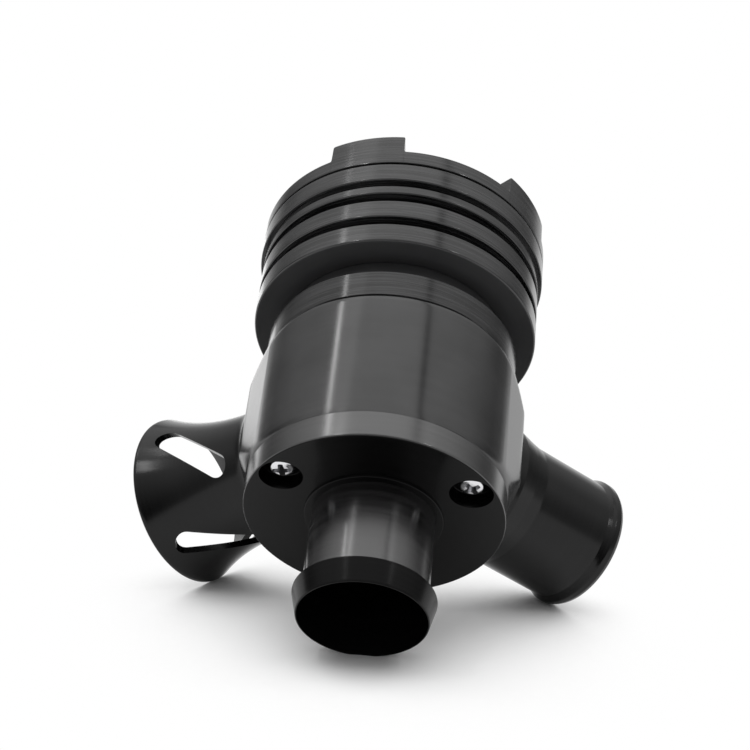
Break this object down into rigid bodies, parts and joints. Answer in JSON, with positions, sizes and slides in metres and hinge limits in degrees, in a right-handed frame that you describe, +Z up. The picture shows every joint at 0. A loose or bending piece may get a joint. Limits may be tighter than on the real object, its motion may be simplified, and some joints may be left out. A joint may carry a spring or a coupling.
{
  "type": "blow off valve",
  "caption": "Piston blow off valve with a barbed inlet, slotted trumpet, straight outlet pipe, finned head and adjustable lugged cap; a sprung piston lifts to vent charge air.",
  "frame": {"origin": "on the main axis at the end of the inlet mouth", "axes": "+Z up the main axis from the inlet to the cap, -Y to the plain front, the trumpet back-left and the pipe back-right"},
  "size_m": [0.1051, 0.0763, 0.1166],
  "materials": {
    "black_anodised": "turned, black anodised, satin gloss",
    "bare_aluminium": "turned",
    "seal_rubber": "matt",
    "spring_wire": "drawn wire",
    "bright_screw": "bright zinc",
    "guide_plastic": "filled plastic",
    "copper_washer": "soft copper"
  },
  "bodies": {
    "valve_body": {"body": "black_anodised", "inlet_adaptor": "black_anodised", "inlet_seal": "seal_rubber", "flange_screws": "bright_screw", "head": "black_anodised", "head_seal": "seal_rubber", "trumpet": "black_anodised", "trumpet_seal": "seal_rubber", "outlet_pipe": "black_anodised", "pipe_seal": "seal_rubber", "spring": "spring_wire"},
    "piston_group": {"piston": "bare_aluminium", "piston_seal": "seal_rubber", "guide_band": "guide_plastic", "nose_seal": "seal_rubber"},
    "seat_slider": {"spring_seat": "bare_aluminium"},
    "cap_group": {"cap": "black_anodised", "cap_seal": "seal_rubber", "vacuum_nipple": "black_anodised", "nipple_washer": "copper_washer"},
    "lock_ring_turner": {"lock_ring": "black_anodised"}
  },
  "joints": [
    {"name": "piston_slide", "type": "slide", "parent": "valve_body", "child": "piston_group", "axis": [0, 0, 1], "range_m": [0, 0.014], "stiffness_N_per_m": 2500, "springref_m": -0.012, "deforming": ["spring"]},
    {"name": "preload_travel", "type": "slide", "parent": "valve_body", "child": "seat_slider", "axis": [0, 0, 1], "range_m": [-0.00038, 0.0015], "deforming": ["spring"]},
    {"name": "cap_turn", "type": "hinge", "parent": "seat_slider", "child": "cap_group", "pos_m": [0, 0, 0.09], "axis": [0, 0, 1], "range_deg": [-90, 360]},
    {"name": "lock_turn", "type": "hinge", "parent": "valve_body", "child": "lock_ring_turner", "pos_m": [0, 0, 0.09], "axis": [0, 0, 1], "range_deg": [0, 60]}
  ],
  "couplings": [
    {"joint": "preload_travel", "follows": "cap_turn", "m_per_rad": 0.00023873}
  ]
}
